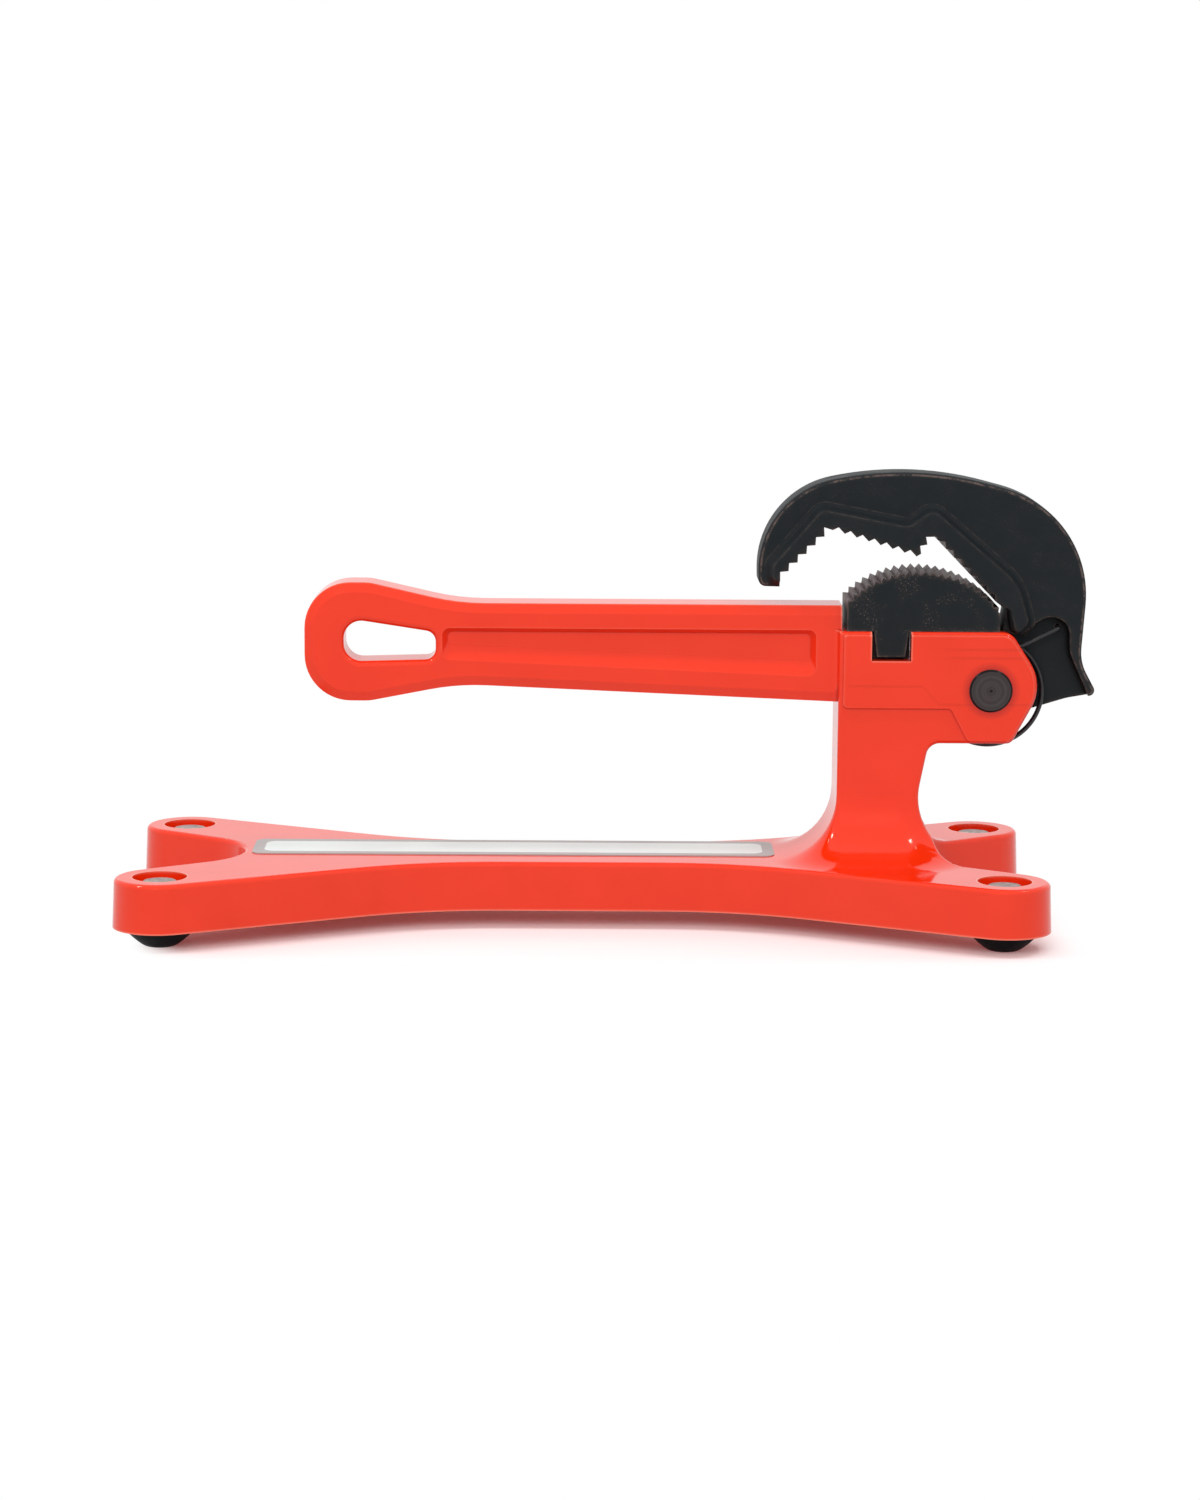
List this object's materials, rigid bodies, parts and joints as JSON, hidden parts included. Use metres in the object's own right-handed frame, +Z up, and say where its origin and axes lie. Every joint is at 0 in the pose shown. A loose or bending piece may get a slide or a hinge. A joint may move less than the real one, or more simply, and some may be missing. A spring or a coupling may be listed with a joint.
{
  "type": "pipe vise",
  "caption": "Bench vise for pipe: spring-loaded hook jaw with toothed steps closes over a toothed heel jaw on a painted casting with a wrench-like arm and rubber feet.",
  "frame": {"origin": "on the floor under the middle of the vise's overall length and width", "axes": "+Z up, +X towards the end that carries the jaws, -Y the front side, away from the pin's washer"},
  "size_m": [0.3587, 0.136, 0.1686],
  "materials": {
    "paint": "glossy red-orange enamel on a cast surface",
    "hook_steel": "black forged jaw with bare worn edges",
    "heel_steel": "black forged jaw with bare worn teeth",
    "pin_steel": "dark turned steel",
    "fastener_steel": "plain zinc-plated steel",
    "nut_steel": "dull zinc-plated steel",
    "spring_steel": "dark spring wire",
    "foot_rubber": "black moulded rubber",
    "label_film": "blank white label film with a grey border"
  },
  "bodies": {
    "vise": {"body_casting": "paint", "heel_jaw": "heel_steel", "heel_jaw_key": "fastener_steel", "pivot_pin": "pin_steel", "pin_washer": "fastener_steel", "pin_retaining_ring": "fastener_steel", "label_plate": "label_film", "foot_front_left": "foot_rubber", "foot_front_right": "foot_rubber", "foot_back_left": "foot_rubber", "foot_back_right": "foot_rubber", "foot_stud_front_left": "fastener_steel", "foot_stud_front_right": "fastener_steel", "foot_stud_back_left": "fastener_steel", "foot_stud_back_right": "fastener_steel", "foot_nut_front_left": "nut_steel", "foot_nut_front_right": "nut_steel", "foot_nut_back_left": "nut_steel", "foot_nut_back_right": "nut_steel"},
    "hook": {"hook_jaw": "hook_steel", "torsion_spring": "spring_steel"}
  },
  "joints": [
    {"name": "hook_pivot", "type": "hinge", "parent": "vise", "child": "hook", "pos_m": [0.14012, 0, 0.089], "axis": [0, 1, 0], "range_deg": [0, 55], "stiffness_Nm_per_rad": 0.3, "springref_deg": -28.65, "deforming": ["torsion_spring"]}
  ]
}
